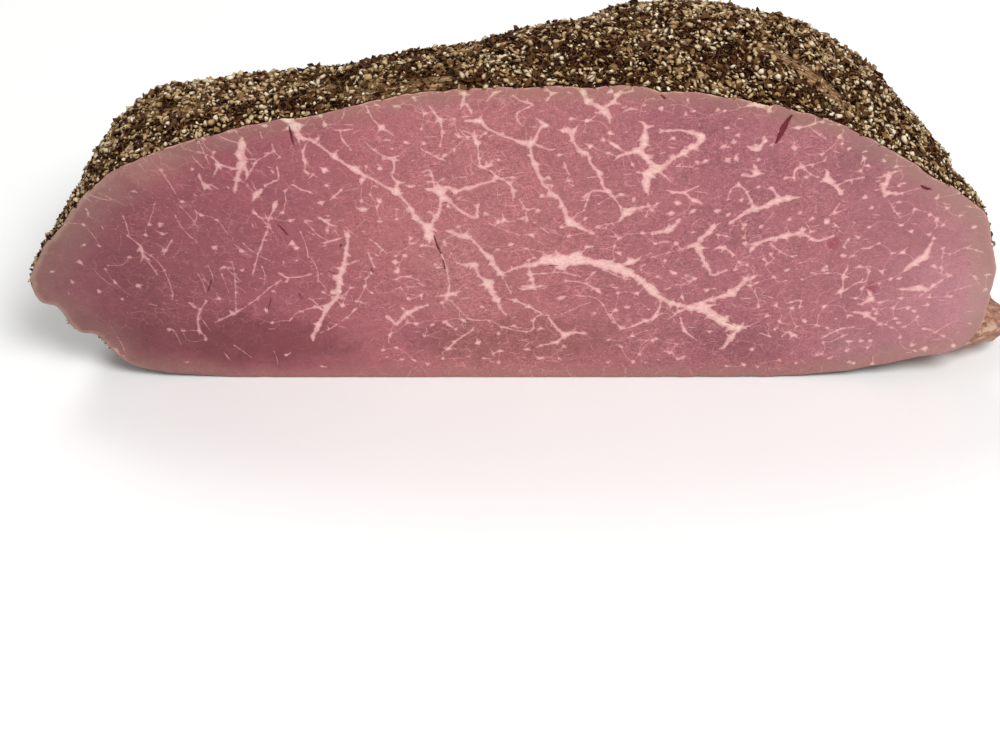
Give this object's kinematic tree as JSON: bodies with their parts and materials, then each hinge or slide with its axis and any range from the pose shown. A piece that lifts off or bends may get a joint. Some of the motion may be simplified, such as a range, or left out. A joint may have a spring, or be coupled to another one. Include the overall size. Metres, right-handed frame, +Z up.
{
  "type": "cut roast of beef",
  "caption": "Half of a boneless beef roast, with a flat cut face in front, a domed roasted outside behind it and a flat underside to stand on.",
  "frame": {"origin": "middle of the whole piece, on the surface that it stands on", "axes": "+X along the cut face, towards its thick end with the small tail; +Y from the cut face to the domed back; +Z up"},
  "size_m": [0.2648, 0.082, 0.1013],
  "materials": {
    "meat": "moist cut meat, pink with pale marbling and a thin grey-brown cooked rim",
    "pepper": "dry, rough coat of cracked black and pale pepper"
  },
  "bodies": {
    "root": {"roast_beef": "meat"}
  },
  "joints": []
}
